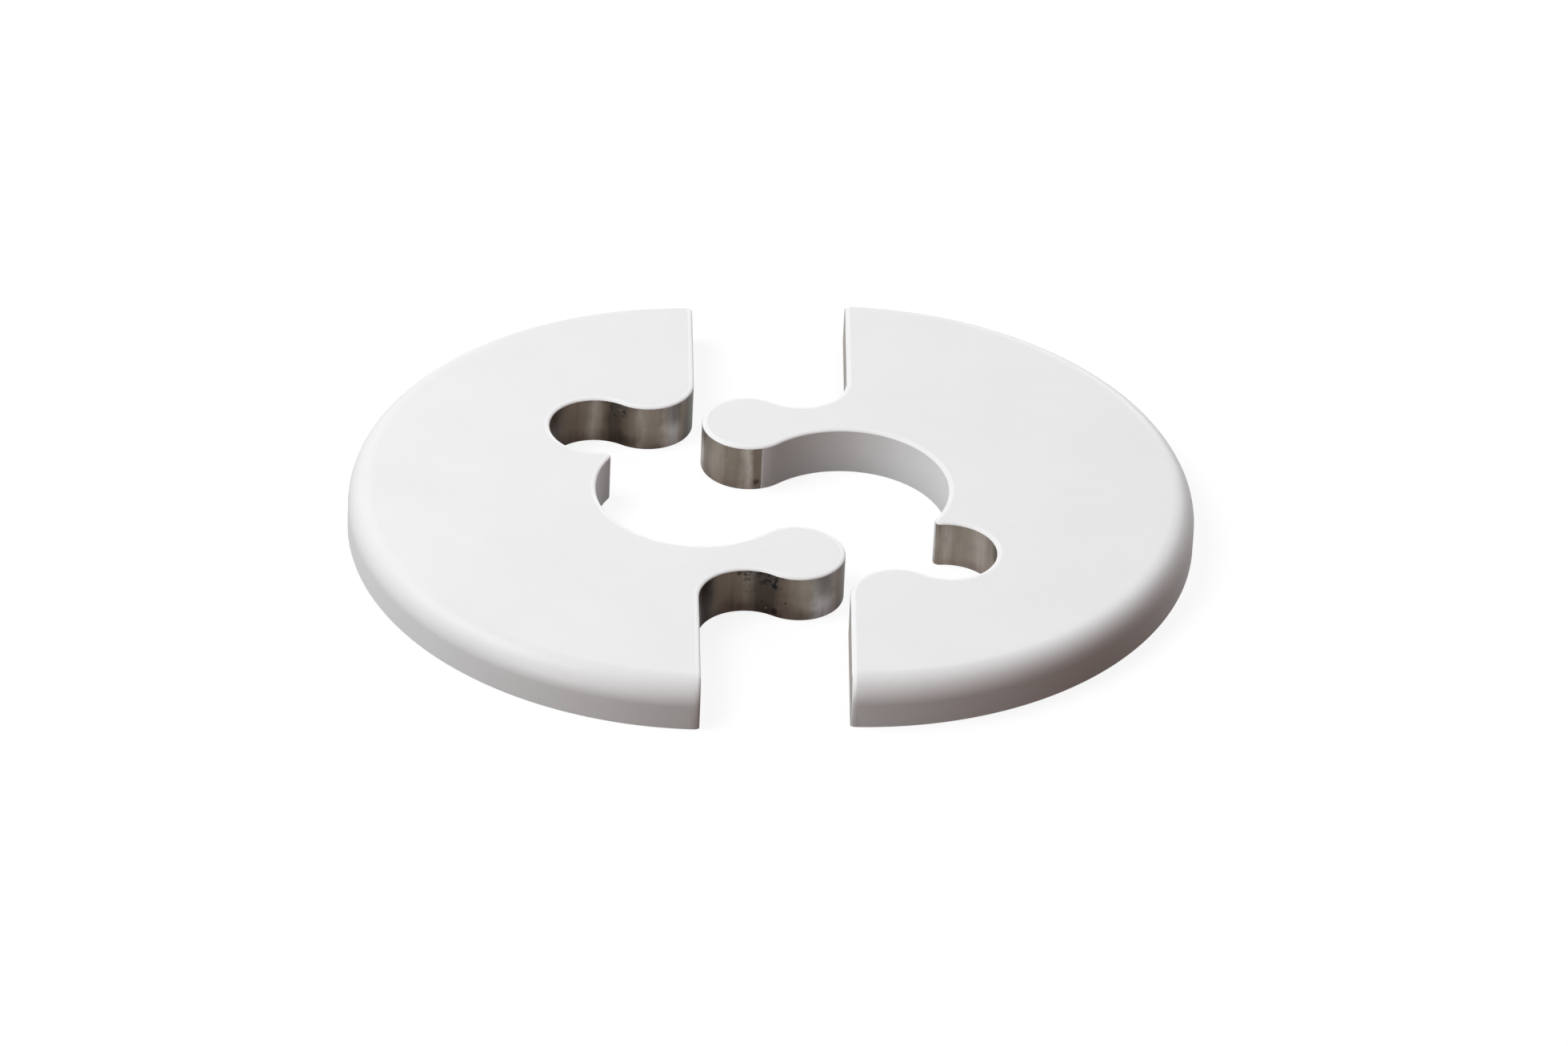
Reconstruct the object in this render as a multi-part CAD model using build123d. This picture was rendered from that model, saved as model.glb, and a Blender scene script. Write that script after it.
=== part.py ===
from build123d import *
import os
from math import cos, radians, sin, sqrt

# Split pipe rosette: two like half discs of steel plate that clip together round a pipe.
# Millimetres, +Z up. The halves lie face up on a surface, drawn apart across their parting line.
# The origin is midway between them on that surface: X runs across the parting line, Y along it.

# Plate
outer_diameter = 55.0  # of the closed rosette
thickness = 4.0
rim_radius = 2.0  # rounding of the outer edge, face side
face_edge_width = 0.5  # softened edge along the bore and the parting cut: how far it reaches in over the face
face_edge_depth = 0.22  # and how far it falls down the cut's wall

# Pipe passage
bore_diameter = 16.0  # leaves play round a 15 mm pipe

# Jigsaw tab and socket
head_radius = 3.7  # round head of the tab
head_angle = 48.0  # degrees: the head seen from the bore's centre, off the line across the parting
neck_radius = 3.85  # hollow between the parting line and the head
fit_clearance = 0.1  # all round between the two closed halves
tooth_land = 0.03  # half of the flat left on the thin tooth's end between socket and bore

# How the halves lie
lay_gap = 0.45  # from a tab's end to the line of the other half's parting face
lay_slip = 0.85  # the halves are shifted this far along the parting line
lay_turn = 0.42  # degrees: each half is turned this far about its own bore, in opposite senses

# Sizes that follow
outer_radius = outer_diameter / 2
bore_radius = bore_diameter / 2
socket_radius = head_radius + fit_clearance
shoulder_radius = neck_radius - fit_clearance
tooth_radius = face_edge_width + tooth_land
parting_x = -fit_clearance / 2

# The head's circle touches the bore's circle, so the bore's wall runs on into the tab.
reach = bore_radius + head_radius
toward_socket = Vector(-cos(radians(head_angle)), sin(radians(head_angle)))
along_tooth = Vector(-sin(radians(head_angle)), -cos(radians(head_angle)))
socket_centre = toward_socket * reach
head_centre = -socket_centre

# The neck's circle touches the head and the parting line, and the shoulder's the socket and that line.
neck_x = parting_x + neck_radius
neck_rise = sqrt((neck_radius + head_radius) ** 2 - (head_centre.X - neck_x) ** 2)
neck_centre = Vector(neck_x, head_centre.Y - neck_rise)
shoulder_centre = Vector(parting_x - shoulder_radius, socket_centre.Y + neck_rise)

# The tooth's end touches both the bore and the socket.
tooth_from_bore = bore_radius + tooth_radius
tooth_from_socket = socket_radius + tooth_radius
tooth_out = (tooth_from_bore**2 - tooth_from_socket**2 + reach**2) / (2 * reach)
tooth_aside = sqrt(tooth_from_bore**2 - tooth_out**2)
tooth_centre = toward_socket * tooth_out + along_tooth * tooth_aside

# A closed half's place about the bore's centre, then as it lies
lay_apart = head_centre.X + head_radius + parting_x + lay_gap
lay_shift = Vector(lay_apart, lay_slip) / 2


def touching(centre, radius, other_centre):
    """Point where a circle touches a neighbour, on the line through both centres."""
    return centre + (other_centre - centre).normalized() * radius


def half_outline():
    """Plan of one half, material at -X: parting line, tab, bore, tooth, socket, rim."""
    corner_y = sqrt(outer_radius**2 - parting_x**2)
    with BuildLine() as line:
        foot = Line((parting_x, -corner_y), (parting_x, neck_centre.Y))
        neck = TangentArc(foot @ 1, touching(neck_centre, neck_radius, head_centre), tangent=foot % 1)
        head = TangentArc(neck @ 1, touching(head_centre, head_radius, Vector()), tangent=neck % 1)
        bore = TangentArc(head @ 1, touching(Vector(), bore_radius, tooth_centre), tangent=head % 1)
        tooth_end = touching(socket_centre, socket_radius, tooth_centre)
        tooth = TangentArc(bore @ 1, tooth_end, tangent=bore % 1)
        mouth = touching(socket_centre, socket_radius, shoulder_centre)
        socket = TangentArc(tooth @ 1, mouth, tangent=tooth % 1)
        shoulder = TangentArc(socket @ 1, (parting_x, shoulder_centre.Y), tangent=socket % 1)
        lip = Line(shoulder @ 1, (parting_x, corner_y))
        ThreePointArc(lip @ 1, (-outer_radius, 0), foot @ 0)
    return line.line


def half_plate():
    """One half about the bore's axis, flat back on Z = 0, rounded rim and softened face edges."""
    with BuildPart() as half:
        with BuildSketch():
            with BuildLine():
                add(half_outline())
            make_face()
        extrude(amount=thickness)

        rim = faces().sort_by(Axis.Z)[-1].edges().sort_by(Axis.X)[0]
        fillet(rim, rim_radius)

        # the jigsaw's and the bore's edges on the face; the bevel runs on over the rim and down the cut's ends
        face = faces().sort_by(Axis.Z)[-1]
        chamfer(face.edges().sort_by(Axis.X)[1:], face_edge_width, face_edge_depth, reference=face)
    return half.part


half = half_plate()
left_half = Pos(-lay_shift) * Rot(0, 0, lay_turn) * half
right_half = Pos(lay_shift) * Rot(0, 0, 180 - lay_turn) * half

os.makedirs("parts", exist_ok=True)
export_step(left_half, "parts/left_half.step")
export_step(right_half, "parts/right_half.step")
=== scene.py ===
import bpy
import bmesh
import numpy as np
from math import atan2, ceil, cos, hypot, pi, radians, sin, sqrt
from mathutils import Matrix, Vector


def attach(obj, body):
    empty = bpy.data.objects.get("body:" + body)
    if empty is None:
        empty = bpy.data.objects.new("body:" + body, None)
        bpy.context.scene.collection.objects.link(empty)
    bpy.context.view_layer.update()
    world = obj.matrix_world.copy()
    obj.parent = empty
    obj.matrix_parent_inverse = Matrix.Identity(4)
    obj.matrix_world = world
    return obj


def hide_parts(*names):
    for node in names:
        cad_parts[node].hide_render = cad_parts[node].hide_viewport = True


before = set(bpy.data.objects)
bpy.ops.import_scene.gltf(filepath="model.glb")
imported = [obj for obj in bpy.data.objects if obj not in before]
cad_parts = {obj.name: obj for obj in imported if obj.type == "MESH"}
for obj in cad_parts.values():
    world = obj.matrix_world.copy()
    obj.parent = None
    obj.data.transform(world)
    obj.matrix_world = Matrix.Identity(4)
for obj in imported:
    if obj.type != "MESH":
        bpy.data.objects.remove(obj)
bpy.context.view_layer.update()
mm = 0.001
print("frame loaded:", sorted(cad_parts))


def solid(colour):
    return (*colour, 1.0)


class Wire:
    # a socket of a shader tree; sums on it add Math nodes
    def __init__(self, tree, socket=None):
        self.tree = tree
        self.socket = socket

    def node(self, kind, settings=None, inputs=None, out=0):
        made = self.tree.nodes.new(kind)
        for key, value in (settings or {}).items():
            if key == "stops":
                ramp = made.color_ramp.elements
                while len(ramp) < len(value):
                    ramp.new(1.0)
                for stop, (place, colour) in zip(ramp, value):
                    stop.position = place
                    stop.color = solid(colour)
            else:
                setattr(made, key, value)
        for key, value in (inputs or {}).items():
            if isinstance(value, Wire):
                self.tree.links.new(value.socket, made.inputs[key])
            else:
                made.inputs[key].default_value = value
        return Wire(self.tree, made.outputs[out]) if len(made.outputs) else made

    def sum(self, operation, first, second=0.0):
        return self.node("ShaderNodeMath", {"operation": operation}, {0: first, 1: second})

    def __add__(self, other):
        return self.sum("ADD", self, other)

    def __radd__(self, other):
        return self.sum("ADD", other, self)

    def __sub__(self, other):
        return self.sum("SUBTRACT", self, other)

    def __rsub__(self, other):
        return self.sum("SUBTRACT", other, self)

    def __mul__(self, other):
        return self.sum("MULTIPLY", self, other)

    def __rmul__(self, other):
        return self.sum("MULTIPLY", other, self)

    def __truediv__(self, other):
        return self.sum("DIVIDE", self, other)

    def __rtruediv__(self, other):
        return self.sum("DIVIDE", other, self)

    def __pow__(self, other):
        return self.sum("POWER", self, other)

    def __rpow__(self, other):
        return self.sum("POWER", other, self)

    def __abs__(self):
        return self.sum("ABSOLUTE", self)

    def most(self, other):
        return self.sum("MAXIMUM", self, other)

    def ease(self, low, high):
        # 0 at low, 1 at high, smooth between; low may be the larger
        return self.node("ShaderNodeMapRange", {"interpolation_type": "SMOOTHSTEP"},
                         {"Value": self, "From Min": low, "From Max": high})

    def blend(self, share, first, second):
        # a Mix node's colours are its sockets 6 and 7
        return self.node("ShaderNodeMix", {"data_type": "RGBA"}, {0: share, 6: first, 7: second}, out=2)


# the two halves' plate and jigsaw cut, in millimetres
plate = {
    "outerRadius": 27.5,
    "thickness": 4.0,
    "rimRounding": 2.0,
    "edgeWidth": 0.5, "edgeDepth": 0.22,  # softened edge of the cut: in over the face, and down the wall
    "edgeReach": 1.0,  # no point of that edge lies further in
    "backBreak": 0.05,
    "rimSteps": 110, "roundSteps": 16, "edgeSteps": 6, "breakSteps": 2, "straightSteps": 4,
    "chord": 0.22, "arcStep": 9.0,  # longest step along an arc, in millimetres and in degrees
    "flatWeight": 100,
    # for picking points and faces by their place
    "slack": 0.01, "rimSlack": 0.02, "wallSlack": 0.03, "flatSlack": 0.001,
}
jigsaw = {
    "boreRadius": 8.0,
    "headRadius": 3.7, "headAngle": 48.0,
    "neckRadius": 3.85,
    "clearance": 0.1,
    "toothRadius": 0.53,
}
lay = {"gap": 0.45, "slip": 0.85, "turn": 0.42}  # how the halves lie drawn apart, the turn in degrees


def straight(runs, name, start, end):
    steps = plate["straightSteps"]
    runs.append((name, [start.lerp(end, i / steps) for i in range(steps)]))


def bend(runs, name, centre, radius, start, turn, steps=None):
    # adds an arc to the outline, start and turn in radians
    steps = steps or ceil(max(abs(turn) * radius / plate["chord"], abs(turn) / radians(plate["arcStep"])))
    angles = [start + turn * i / steps for i in range(steps)]
    runs.append((name, [centre + radius * Vector((cos(a), sin(a))) for a in angles]))


def heading(a, b):
    return atan2(b.y - a.y, b.x - a.x)


def swept(start, end, clockwise):
    # turn from one heading to another, the way asked for
    turn = (end - start) % (2 * pi)
    return turn - 2 * pi if clockwise else turn


def halfOutline():
    # each circle touches the next, so the cut is one smooth line from the foot's corner to the lip's
    p, j = plate, jigsaw
    part = -j["clearance"] / 2
    bore, head, neck, tooth = j["boreRadius"], j["headRadius"], j["neckRadius"], j["toothRadius"]
    socket, shoulder = head + j["clearance"], neck - j["clearance"]
    reach, angle = bore + head, radians(j["headAngle"])
    middle = Vector((0.0, 0.0))
    socketAt = reach * Vector((-cos(angle), sin(angle)))
    headAt = -socketAt
    neckX = part + neck
    rise = sqrt((neck + head) ** 2 - (headAt.x - neckX) ** 2)
    neckAt = Vector((neckX, headAt.y - rise))
    shoulderAt = Vector((part - shoulder, socketAt.y + rise))
    fromBore, fromSocket = bore + tooth, socket + tooth
    out = (fromBore ** 2 - fromSocket ** 2 + reach ** 2) / (2 * reach)
    aside = sqrt(fromBore ** 2 - out ** 2)
    toothAt = out * socketAt.normalized() - aside * Vector((sin(angle), cos(angle)))
    cornerY = sqrt(p["outerRadius"] ** 2 - part ** 2)

    runs = []
    straight(runs, "foot", Vector((part, -cornerY)), Vector((part, neckAt.y)))
    for name, at, radius, a, b, clockwise in (
        ("neck", neckAt, neck, pi, heading(neckAt, headAt), True),
        ("head", headAt, head, heading(headAt, neckAt), heading(headAt, middle), False),
        ("bore", middle, bore, heading(middle, headAt), heading(middle, toothAt), True),
        ("tooth", toothAt, tooth, heading(toothAt, middle), heading(toothAt, socketAt), False),
        ("socket", socketAt, socket, heading(socketAt, toothAt), heading(socketAt, shoulderAt), True),
        ("shoulder", shoulderAt, shoulder, heading(shoulderAt, socketAt), 0.0, False),
    ):
        bend(runs, name, at, radius, a, swept(a, b, clockwise))
    straight(runs, "lip", Vector((part, shoulderAt.y)), Vector((part, cornerY)))
    first = atan2(cornerY, part)
    bend(runs, "rim", middle, p["outerRadius"], first, swept(first, -first, False), p["rimSteps"])
    apart = headAt.x + head + part + lay["gap"]
    return runs, apart


def nearestOnCut(runs, spots):
    # for every spot: gap to the outline, length along it from the foot's corner, run, outward direction
    start = np.array([v for name, run in runs for v in run])
    names = np.array([name for name, run in runs for v in run])
    step = np.roll(start, -1, axis=0) - start
    size = np.linalg.norm(step, axis=1)
    length = np.cumsum(size) - size
    offset = spots[:, None, :] - start
    part = np.clip((offset * step).sum(2) / size ** 2, 0.0, 1.0)
    gap = np.linalg.norm(offset - part[..., None] * step, axis=2)
    row, best = np.arange(len(spots)), gap.argmin(axis=1)
    outward = np.stack([step[:, 1], -step[:, 0]], axis=1) / size[:, None]
    return gap[row, best], length[best] + part[row, best] * size[best], names[best], outward[best]


def raisePlate(runs):
    bm = bmesh.new()
    outline = [v for name, run in runs for v in run]
    back = bm.faces.new([bm.verts.new((v.x, v.y, 0.0)) for v in reversed(outline)])
    raised = bmesh.ops.extrude_face_region(bm, geom=[back], use_keep_orig=True)
    lifted = [v for v in raised["geom"] if isinstance(v, bmesh.types.BMVert)]
    bmesh.ops.translate(bm, verts=lifted, vec=(0.0, 0.0, plate["thickness"]))
    bmesh.ops.recalc_face_normals(bm, faces=bm.faces)
    bm.normal_update()
    return bm


def bevel(bm, edges, size, steps):
    bmesh.ops.bevel(bm, geom=edges, offset=size, offset_type="OFFSET", segments=steps, profile=0.5,
                    affect="EDGES", clamp_overlap=False)
    bm.normal_update()


def flattenEdge(bm):
    # the cut's edge falls less down the wall than it reaches in: its points move out toward face and rim
    p, rim = plate, plate["rimRounding"]
    for v in bm.verts:
        radial = Vector((v.co.x, v.co.y, 0.0))
        over = max(radial.length - p["outerRadius"] + rim, 0.0)
        up = max(v.co.z - p["thickness"] + rim, 0.0)
        if over == 0.0:
            depth, out = p["thickness"] - v.co.z, Vector((0.0, 0.0, 1.0))
        else:
            out = radial.normalized() * over + Vector((0.0, 0.0, up))
            depth, out = rim - out.length, out.normalized()
        if 0.0 < depth < p["edgeWidth"] + p["slack"]:
            v.co += out * depth * (1 - p["edgeDepth"] / p["edgeWidth"])
    bm.normal_update()


def softenEdges(bm):
    p = plate

    def onRim(spot):
        return hypot(spot.x, spot.y) > p["outerRadius"] - p["rimSlack"]

    def isCutWall(face):
        return abs(face.normal.z) < p["slack"] and not onRim(face.calc_center_median())

    def isBack(face):
        return face.normal.z < p["slack"] - 1

    def isTop(edge):
        return all(v.co.z > p["thickness"] - p["flatSlack"] for v in edge.verts)

    # outer rim first, then the softened edges of the cut, then the back's thin break
    rimEdges = [e for e in bm.edges if isTop(e) and all(onRim(v.co) for v in e.verts)]
    bevel(bm, rimEdges, p["rimRounding"], p["roundSteps"])
    cutEdges = [e for e in bm.edges if sum(isCutWall(f) for f in e.link_faces) == 1
                and not any(isBack(f) for f in e.link_faces)]
    bevel(bm, cutEdges, p["edgeWidth"], p["edgeSteps"])
    flattenEdge(bm)
    backEdges = [e for e in bm.edges if sum(isBack(f) for f in e.link_faces) == 1]
    bevel(bm, backEdges, p["backBreak"], p["breakSteps"])


def markCut(bm, runs):
    # how far each point has turned from the face to the cut, and how far along the cut it lies
    p = plate
    spots = np.array([v.co for v in bm.verts])
    normals = np.array([v.normal for v in bm.verts])
    height = spots[:, 2]
    gap, length, run, outward = nearestOnCut(runs, spots[:, :2])
    across = np.clip((normals[:, :2] * outward).sum(1), 0.0, 1.0)
    facing = 1.0 - np.arccos(across) / (pi / 2)
    onWall = (gap < p["wallSlack"]) & (height < p["thickness"] - p["edgeDepth"] + p["slack"])
    onFlat = abs(height - p["thickness"] / 2) > p["thickness"] / 2 - p["flatSlack"]
    painted = (run == "rim") | (gap > p["edgeReach"]) | onFlat
    bare = np.where(painted, 0.0, np.where(onWall, 1.0, facing))
    return bare, length


def makeHalf(name, node, turn, shift, finish):
    runs = halfOutline()[0]
    bm = raisePlate(runs)
    softenEdges(bm)
    bare, length = markCut(bm, runs)
    place = Matrix.Translation(shift) @ Matrix.Rotation(radians(turn), 4, "Z")
    bmesh.ops.transform(bm, matrix=Matrix.Scale(mm, 4) @ place, verts=bm.verts)
    for face in bm.faces:
        face.smooth = True
    mesh = bpy.data.meshes.new(name)
    bm.to_mesh(mesh)
    bm.free()
    for label, values in (("bare", bare), ("along", length)):
        marks = mesh.attributes.new(label, "FLOAT", "POINT")
        marks.data.foreach_set("value", values.astype(np.float32))
    mesh.materials.append(finish)
    piece = bpy.data.objects.new(name, mesh)
    bpy.context.scene.collection.objects.link(piece)
    flat = piece.modifiers.new("flatFaces", "WEIGHTED_NORMAL")
    flat.keep_sharp = True
    flat.weight = plate["flatWeight"]
    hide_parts(node)
    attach(piece, "root")
    print(name, "made:", len(mesh.vertices), "points,", len(mesh.polygons), "faces")


# white powder coat: orange peel, a fine grain and faint clouds; the coat lies thicker along the cut's edges
# and is painted lighter there, a painted highlight
coat = {
    "white": (0.87, 0.87, 0.872), "shade": (0.845, 0.845, 0.845), "edgeHighlight": (0.945, 0.945, 0.945),
    "peelSize": 1.1, "peelDepth": 0.012, "bump": 0.35,  # millimetres
    "grainScale": 5200.0, "cloudScale": 160.0,  # per metre
    "cloudShare": 0.6, "whiteFrom": 0.3, "whiteTo": 0.72,
    "edgeHighlightFrom": (0.03, 0.09), "edgeHighlightTo": (0.95, 0.7),  # of the turn from face to cut
    "roughness": 0.5, "grainRough": 0.12, "cloudRough": 0.06,
    "gloss": 0.45, "glossRoughness": 0.36,
}
# where the coat stops: a ragged line low on the cut's rounded edge, and the two ends of the painted bore
coatEnd = {
    "turn": 0.835, "soft": 0.04,  # of the turn from face to cut
    "fineScale": 2600.0, "fineRag": 0.16, "broadScale": 700.0, "broadRag": 0.1, "scorchRag": 2.5,
    "boreFrom": 35.5, "boreFromSoft": 0.1, "boreTo": 60.4, "boreToSoft": 0.15,  # millimetres along the cut
    "wobbleScale": 900.0, "wobble": 0.16,
}
# bare steel that the parting cut left; lengths along the cut and heights up its wall in millimetres
cutSteel = {
    "broad": {"drop": 0.12, "offset": 0.0, "scale": 0.5, "detail": 2.0},  # streaks down the wall
    "fine": {"drop": 0.08, "offset": 3.0, "scale": 2.2, "detail": 3.0},
    "hair": {"drop": 0.02, "offset": 5.0, "scale": 9.0, "detail": 2.0},
    "broadTone": 0.25, "fineTone": 0.45, "hairTone": 0.25, "stainTone": 0.35,
    "stainScale": 620.0, "wanderScale": 640.0, "bandWander": 0.9, "footWander": 1.4,
    "boreMiddle": 48.0, "boreSoft": 0.1,  # the tab's bands end here and the socket's begin
    "footHeight": 1.9, "footWarm": 0.05, "topFrom": 2.0, "topTo": 3.2,
    "spotCore": 0.45, "pitDark": 0.6, "chipLight": 1.1, "chipBlue": 0.2, "darkest": 0.15,
    "scorchCore": 0.5, "scorchFrom": 2.2, "scorchTo": 3.2, "scorchGreen": 0.1, "scorchBlue": 0.16,
    "sootScale": 2100.0, "sootFrom": 0.5, "sootTo": 0.58, "sootDark": 0.75,
    "flakeScale": 2300.0, "flakeFrom": 0.58, "flakeTo": 0.68, "flakeShare": 0.35,
    "roughness": 0.42, "fineRough": 0.2, "stainRough": 0.16,
    "oxideMetal": 0.4, "oxideGreen": 0.02, "cleanGreen": 0.06,  # dark oxide is duller than clean steel
    "fineRelief": 0.25, "hairRelief": 0.1, "pitRelief": 0.8, "chipRelief": 0.4, "sootRelief": 0.3,
}
# the darkest tone is painted shade, laid where the tab's wall turns away from the light; glint is a painted
# highlight
steelTones = {
    "shadeDark": (0.036, 0.027, 0.023), "umber": (0.06, 0.046, 0.038), "brown": (0.095, 0.072, 0.056),
    "tan": (0.125, 0.1, 0.08), "straw": (0.163, 0.138, 0.112), "bright": (0.225, 0.195, 0.165),
    "pale": (0.3, 0.268, 0.235), "silver": (0.345, 0.33, 0.32), "glint": (0.355, 0.345, 0.34),
    "olive": (0.062, 0.059, 0.048),
}
# tab and socket: length along the cut from the foot's corner, and the tone of the band there; the steel's
# own streaks, with painted shade and painted highlights laid in
# scorches: length and reach; pits and chips: length, height and size
leftSteel = {
    "seed": 3.7, "level": 1.0, "footShade": 0.45, "topPaintedLight": 0.16,
    "tab": [
        (0.0, "tan"), (4.0, "brown"), (7.5, "tan"), (10.8, "brown"), (12.2, "umber"),
        (13.3, "brown"), (14.0, "shadeDark"), (14.7, "shadeDark"), (15.4, "umber"), (16.1, "brown"),
        (17.6, "brown"), (18.5, "tan"), (19.2, "umber"), (20.1, "umber"), (20.7, "umber"),
        (21.3, "brown"), (22.0, "tan"), (22.9, "straw"), (23.7, "bright"), (24.3, "glint"),
        (24.9, "glint"), (25.4, "silver"), (25.9, "bright"), (26.3, "tan"), (26.7, "brown"),
        (27.2, "olive"), (28.6, "brown"), (31.0, "tan"), (33.5, "brown"), (37.0, "tan")],
    "socket": [
        (60.0, "tan"), (66.0, "brown"), (69.2, "umber"), (69.8, "umber"), (70.6, "brown"),
        (71.8, "brown"), (72.6, "tan"), (73.2, "bright"), (73.7, "straw"), (74.1, "brown"),
        (74.6, "umber"), (75.3, "umber"), (75.8, "brown"), (76.2, "tan"), (76.7, "straw"),
        (77.2, "bright"), (77.8, "straw"), (78.7, "straw"), (79.2, "pale"), (79.7, "glint"),
        (80.2, "glint"), (80.6, "bright"), (81.0, "straw"), (81.4, "brown"), (81.8, "olive"),
        (82.8, "olive"), (84.2, "brown"), (88.0, "tan"), (92.0, "brown"), (97.0, "tan")],
    "scorches": [(19.8, 2.0), (75.2, 0.9)],
    "pits": [
        (18.45, 1.86, 0.1), (21.7, 1.5, 0.13), (19.7, 1.1, 0.13), (17.85, 3.6, 0.26), (18.3, 3.5, 0.2),
        (19.45, 3.7, 0.22), (20.3, 3.15, 0.24), (20.75, 2.75, 0.28), (20.8, 0.5, 0.34)],
    "chips": [(20.05, 0.58, 0.13), (20.6, 3.2, 0.12), (75.3, 3.3, 0.16)],
}
rightSteel = {
    "seed": 11.2, "level": 1.07, "footShade": 0.24, "topPaintedLight": 0.06,
    "tab": [
        (12.0, "straw"), (28.0, "straw"), (29.4, "silver"), (29.9, "straw"), (30.5, "straw"),
        (31.2, "bright"), (32.1, "bright"), (32.5, "straw"), (33.5, "straw"), (34.0, "bright"),
        (34.5, "pale"), (34.95, "tan"), (35.2, "tan"), (37.0, "tan")],
    "socket": [
        (60.0, "bright"), (60.8, "bright"), (61.4, "pale"), (62.0, "bright"), (63.2, "bright"),
        (64.2, "pale"), (64.8, "pale"), (65.3, "bright"), (66.0, "pale"), (66.5, "straw"),
        (76.0, "straw"), (97.0, "straw")],
    "scorches": [],
    "pits": [(35.05, 0.7, 0.36)],
    "chips": [],
}
noiseRoughness = 0.55
noiseMean = 0.5


def noise(draw, at, scale, detail):
    return draw.node("ShaderNodeTexNoise", None, {
        "Vector": at, "Scale": scale, "Detail": detail, "Roughness": noiseRoughness})


def sway(draw, at, scale, detail):
    # noise about zero
    return noise(draw, at, scale, detail) - noiseMean


def coatLook(draw, place, turned):
    c = coat
    peel = noise(draw, place, 1 / (c["peelSize"] * mm), detail=1.0)
    grain = noise(draw, place, c["grainScale"], detail=1.0)
    clouds = noise(draw, place, c["cloudScale"], detail=2.0)
    mottle = clouds * c["cloudShare"] + grain * (1 - c["cloudShare"])
    white = draw.blend(mottle.ease(c["whiteFrom"], c["whiteTo"]), solid(c["shade"]), solid(c["white"]))
    # lighter white on the cut's softened edges: a painted highlight
    onEdgeHighlight = turned.ease(*c["edgeHighlightFrom"]) * turned.ease(*c["edgeHighlightTo"])
    white = draw.blend(onEdgeHighlight, white, solid(c["edgeHighlight"]))
    rough = c["roughness"] + (grain - noiseMean) * c["grainRough"] + (clouds - noiseMean) * c["cloudRough"]
    return white, rough, peel


def steelLook(draw, place, length, height, scorched, steel):
    # bands and streaks run down the wall, so they follow the length along the cut
    c = cutSteel
    stain = sway(draw, place, c["stainScale"], detail=3.0)
    wander = sway(draw, place, c["wanderScale"], detail=2.0)

    def streaks(s):
        at = draw.node("ShaderNodeCombineXYZ", None, {
            0: length, 1: height * s["drop"], 2: steel["seed"] + s["offset"]})
        return noise(draw, at, s["scale"], s["detail"])

    def ramp(bands):
        first, last = bands[0][0], bands[-1][0]
        stops = [((at - first) / (last - first), steelTones[tone]) for at, tone in bands]
        along = (length + wander * c["bandWander"] - first) / (last - first)
        return draw.node("ShaderNodeValToRGB", {"stops": stops}, {0: along}, out="Color")

    def spot(at, tall, size):
        away = ((length - at) ** 2 + (height - tall) ** 2) ** 0.5
        return (away + stain * size).ease(size, size * c["spotCore"])

    broad, fine, hair = streaks(c["broad"]), streaks(c["fine"]), streaks(c["hair"])
    pastBore = length.ease(c["boreMiddle"] - c["boreSoft"], c["boreMiddle"] + c["boreSoft"])
    band = draw.blend(pastBore, ramp(steel["tab"]), ramp(steel["socket"]))
    # darker towards the foot and lighter towards the top of the wall: painted shade and painted light
    foot = (height + wander * c["footWander"]).ease(c["footHeight"], 0.0)
    strength = steel["level"] + (broad - noiseMean) * c["broadTone"] + (fine - noiseMean) * c["fineTone"]
    strength = strength + (hair - noiseMean) * c["hairTone"] + stain * c["stainTone"]
    atTop = height.ease(c["topFrom"], c["topTo"])
    strength = strength - foot * steel["footShade"] + atTop * steel["topPaintedLight"]

    # pits, paler chips, and soot and flakes near the top edge where the cut ran hot
    nearTop = scorched * height.ease(c["scorchFrom"], c["scorchTo"])
    soot = noise(draw, place, c["sootScale"], detail=3.0).ease(c["sootFrom"], c["sootTo"]) * nearTop
    flakes = noise(draw, place, c["flakeScale"], detail=3.0).ease(c["flakeFrom"], c["flakeTo"]) * nearTop
    pits = sum(spot(*pit) for pit in steel["pits"])
    chips = sum(spot(*chip) for chip in steel["chips"]) + flakes * c["flakeShare"]
    strength = strength * (1 - pits * c["pitDark"]) * (1 - soot * c["sootDark"]) + chips * c["chipLight"]
    strength = strength.most(c["darkest"])

    # warmer in the painted shade at the foot, greyer in the scorched top
    warmed = strength - foot * c["footWarm"]
    tint = draw.node("ShaderNodeCombineXYZ", None, {
        0: strength, 1: warmed + nearTop * c["scorchGreen"],
        2: warmed + nearTop * c["scorchBlue"] + chips * c["chipBlue"]})
    colour = draw.node("ShaderNodeVectorMath", {"operation": "MULTIPLY"}, {0: band, 1: tint})
    rough = c["roughness"] + (fine - noiseMean) * c["fineRough"] + stain * c["stainRough"]
    green = draw.node("ShaderNodeSeparateColor", None, {0: band}, out="Green")
    metal = c["oxideMetal"] + (1 - c["oxideMetal"]) * green.ease(c["oxideGreen"], c["cleanGreen"])
    marks = fine * c["fineRelief"] + hair * c["hairRelief"] - pits * c["pitRelief"]
    marks = marks + chips * c["chipRelief"] - soot * c["sootRelief"]
    return colour, rough, metal, marks


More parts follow.
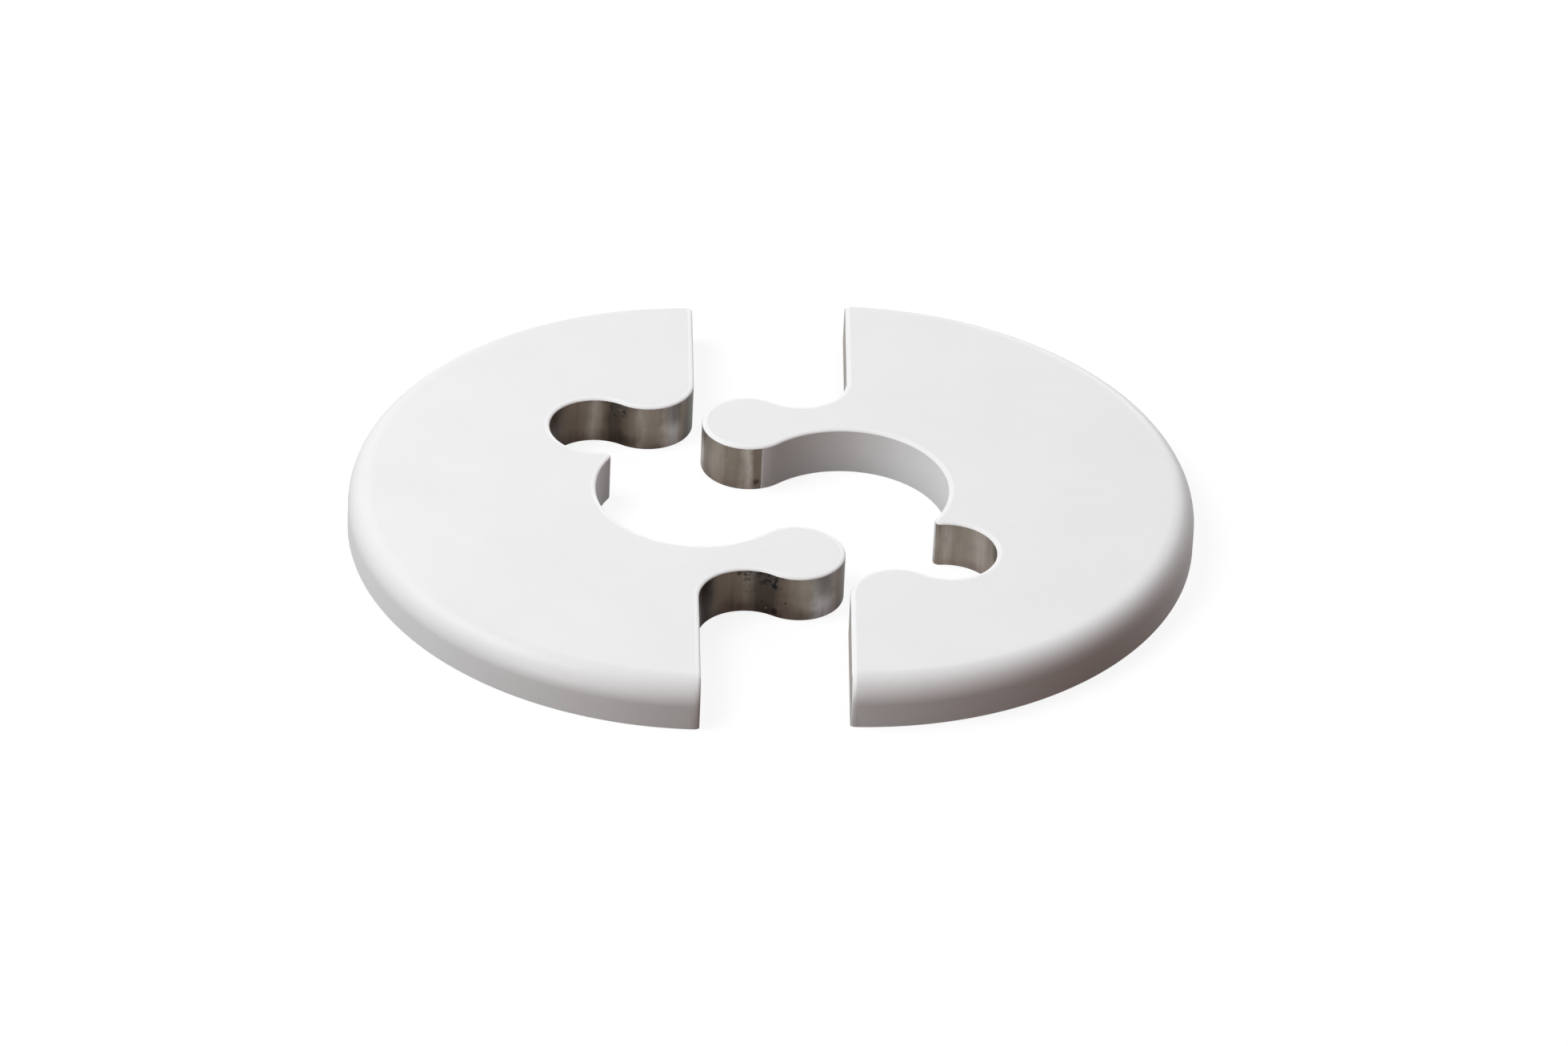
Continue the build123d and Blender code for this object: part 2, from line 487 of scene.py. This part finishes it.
def bareShare(draw, place, length, turned, scorched):
    # 0 on the coat, 1 on bare steel; the line between is more broken where the cut scorched it
    c = coatEnd
    ragged = sway(draw, place, c["fineScale"], detail=3.0) * c["fineRag"]
    ragged = ragged + sway(draw, place, c["broadScale"], detail=2.0) * c["broadRag"]
    ragged = ragged + abs(ragged) * scorched * c["scorchRag"]
    along = length + sway(draw, place, c["wobbleScale"], detail=2.0) * c["wobble"]
    inBore = along.ease(c["boreFrom"] - c["boreFromSoft"], c["boreFrom"] + c["boreFromSoft"])
    inBore = inBore * along.ease(c["boreTo"] + c["boreToSoft"], c["boreTo"] - c["boreToSoft"])
    return (turned + ragged).ease(c["turn"] - c["soft"], c["turn"] + c["soft"]) * (1 - inBore)


def makeFinish(name, steel):
    material = bpy.data.materials.new(name)
    material.use_nodes = True
    tree = material.node_tree
    tree.nodes.clear()
    draw = Wire(tree)
    place = draw.node("ShaderNodeTexCoord", out="Object")
    height = draw.node("ShaderNodeSeparateXYZ", None, {0: place}, out="Z") * (1 / mm)
    length = draw.node("ShaderNodeAttribute", {"attribute_name": "along"}, out="Fac")
    turned = draw.node("ShaderNodeAttribute", {"attribute_name": "bare"}, out="Fac")
    scorched = sum(abs(length - middle).ease(reach, reach * cutSteel["scorchCore"])
                   for middle, reach in steel["scorches"])
    white, coatRough, peel = coatLook(draw, place, turned)
    steelColour, steelRough, steelMetal, marks = steelLook(draw, place, length, height, scorched, steel)

    bare = bareShare(draw, place, length, turned, scorched)
    relief = (1 - bare) * peel + marks * bare
    bump = draw.node("ShaderNodeBump", None, {
        "Strength": coat["bump"], "Distance": coat["peelDepth"] * mm, "Height": relief}, out="Normal")
    surface = draw.node("ShaderNodeBsdfPrincipled", None, {
        "Base Color": draw.blend(bare, white, steelColour),
        "Roughness": coatRough + bare * (steelRough - coatRough),
        "Metallic": bare * steelMetal,
        "Specular IOR Level": 0.0,  # the paint's gloss is all in the coat
        "Coat Weight": (1 - bare) * coat["gloss"],
        "Coat Roughness": coat["glossRoughness"],
        "Normal": bump})
    draw.node("ShaderNodeOutputMaterial", None, {"Surface": surface})
    print(name, "mixed:", len(tree.nodes), "nodes")
    return material


apart = halfOutline()[1]
shift = Vector((apart, lay["slip"], 0.0)) / 2
makeHalf("leftHalf", "left_half", lay["turn"], -shift, makeFinish("leftCoat", leftSteel))
makeHalf("rightHalf", "right_half", 180.0 - lay["turn"], shift, makeFinish("rightCoat", rightSteel))


# white floor and backdrop; their dim colours light the part, and its gloss mirrors the white
studio = {
    "white": (1.0, 1.0, 1.0),
    "floorSize": 4.0, "floorDrop": 0.00002,  # metres; the floor lies just under the part
    "floorGlow": 1.07, "shadowShare": 0.2,
    "bounce": (0.06, 0.05, 0.042),
    "ambient": (0.035, 0.03, 0.027),
}


def seenRay(draw):
    # 1 for rays that show the backdrop itself
    camera, glossy, through = [draw.node("ShaderNodeLightPath", out=ray) for ray in (
        "Is Camera Ray", "Is Glossy Ray", "Is Transmission Ray")]
    return camera.most(glossy).most(through)


def makeFloor():
    material = bpy.data.materials.new("floorWhite")
    material.use_nodes = True
    material.node_tree.nodes.clear()
    draw = Wire(material.node_tree)
    white = solid(studio["white"])
    glow = draw.node("ShaderNodeEmission", None, {"Color": white, "Strength": studio["floorGlow"]})
    lit = draw.node("ShaderNodeBsdfDiffuse", None, {"Color": white})
    shown = draw.node("ShaderNodeMixShader", None, {0: studio["shadowShare"], 1: glow, 2: lit})
    dim = draw.node("ShaderNodeBsdfDiffuse", None, {"Color": solid(studio["bounce"])})
    both = draw.node("ShaderNodeMixShader", None, {0: seenRay(draw), 1: dim, 2: shown})
    draw.node("ShaderNodeOutputMaterial", None, {"Surface": both})
    bm = bmesh.new()
    bmesh.ops.create_grid(bm, x_segments=1, y_segments=1, size=studio["floorSize"] / 2)
    bmesh.ops.translate(bm, verts=bm.verts, vec=(0.0, 0.0, -studio["floorDrop"]))
    mesh = bpy.data.meshes.new("floor")
    bm.to_mesh(mesh)
    bm.free()
    mesh.materials.append(material)
    floor = bpy.data.objects.new("floor", mesh)
    bpy.context.scene.collection.objects.link(floor)


def makeWorld():
    world = bpy.data.worlds.new("studio")
    world.use_nodes = True
    world.node_tree.nodes.clear()
    draw = Wire(world.node_tree)
    dim = draw.node("ShaderNodeBackground", None, {"Color": solid(studio["ambient"]), "Strength": 1.0})
    white = draw.node("ShaderNodeBackground", None, {"Color": solid(studio["white"]), "Strength": 1.0})
    both = draw.node("ShaderNodeMixShader", None, {0: seenRay(draw), 1: dim, 2: white})
    draw.node("ShaderNodeOutputWorld", None, {"Surface": both})
    bpy.context.scene.world = world


# softboxes: heading from +X and height in degrees, seen from the part; distance and width in metres;
# share of full light on a face turned to it
lampColours = {"white": (1.0, 1.0, 1.0), "day": (0.975, 0.985, 1.0), "warm": (1.0, 0.42, 0.3)}
softboxes = {
    "keyLeft": {"heading": 182, "height": 53, "away": 0.34, "size": 0.24, "share": 0.695, "colour": "day"},
    "backWindow": {"heading": 66, "height": 34, "away": 1.0, "size": 0.76, "share": 0.37, "colour": "day"},
    "backLow": {"heading": 70, "height": 6, "away": 0.6, "size": 0.3, "share": 0.22, "colour": "white"},
    "leftFill": {"heading": 223, "height": 16, "away": 0.6, "size": 0.26, "share": 0.27, "colour": "white"},
    "overhead": {"heading": -10, "height": 72, "away": 0.6, "size": 0.42, "share": 0.14, "colour": "day"},
    "warmFill": {"heading": 306, "height": 8, "away": 0.6, "size": 0.4, "share": 0.065, "colour": "warm"},
}


def makeSoftbox(name, box):
    a, e = radians(box["heading"]), radians(box["height"])
    toward = Vector((cos(a) * cos(e), sin(a) * cos(e), sin(e)))
    lamp = bpy.data.lights.new(name, "AREA")
    lamp.shape = "DISK"
    lamp.size = box["size"]
    lamp.energy = pi * pi * box["away"] ** 2 * box["share"]
    lamp.color = lampColours[box["colour"]]
    light = bpy.data.objects.new(name, lamp)
    light.location = toward * box["away"]
    light.rotation_mode = "QUATERNION"
    light.rotation_quaternion = toward.to_track_quat("Z", "Y")
    light.visible_camera = False
    bpy.context.scene.collection.objects.link(light)


makeFloor()
makeWorld()
for name, box in softboxes.items():
    makeSoftbox(name, box)
print("studio lit:", ", ".join(softboxes))


# camera, as the photograph was taken: a long lens from in front, well above; angles in degrees
view = {
    "lens": 237.62, "sensor": 36.0, "away": 0.8202, "target": (0.001075, 0.000834, 0.0),
    "height": 33.931, "swing": -2.237, "roll": 2.682,
    "nearest": 0.05, "furthest": 20.0,
}


def makeCamera():
    camera = bpy.data.cameras.new("photoCamera")
    camera.lens = view["lens"]
    camera.sensor_width = view["sensor"]
    camera.sensor_fit = "HORIZONTAL"
    camera.clip_start = view["nearest"]
    camera.clip_end = view["furthest"]
    swing = Matrix.Rotation(radians(view["swing"]), 4, "Z")
    tilt = Matrix.Rotation(radians(90 - view["height"]), 4, "X")
    turned = swing @ tilt @ Matrix.Rotation(radians(view["roll"]), 4, "Z")
    place = Vector(view["target"]) + turned.col[2].xyz * view["away"]
    taker = bpy.data.objects.new("photoCamera", camera)
    taker.matrix_world = Matrix.Translation(place) @ turned
    bpy.context.scene.collection.objects.link(taker)
    bpy.context.scene.camera = taker


makeCamera()
print("camera set")
bpy.context.scene.view_settings.view_transform = "Standard"
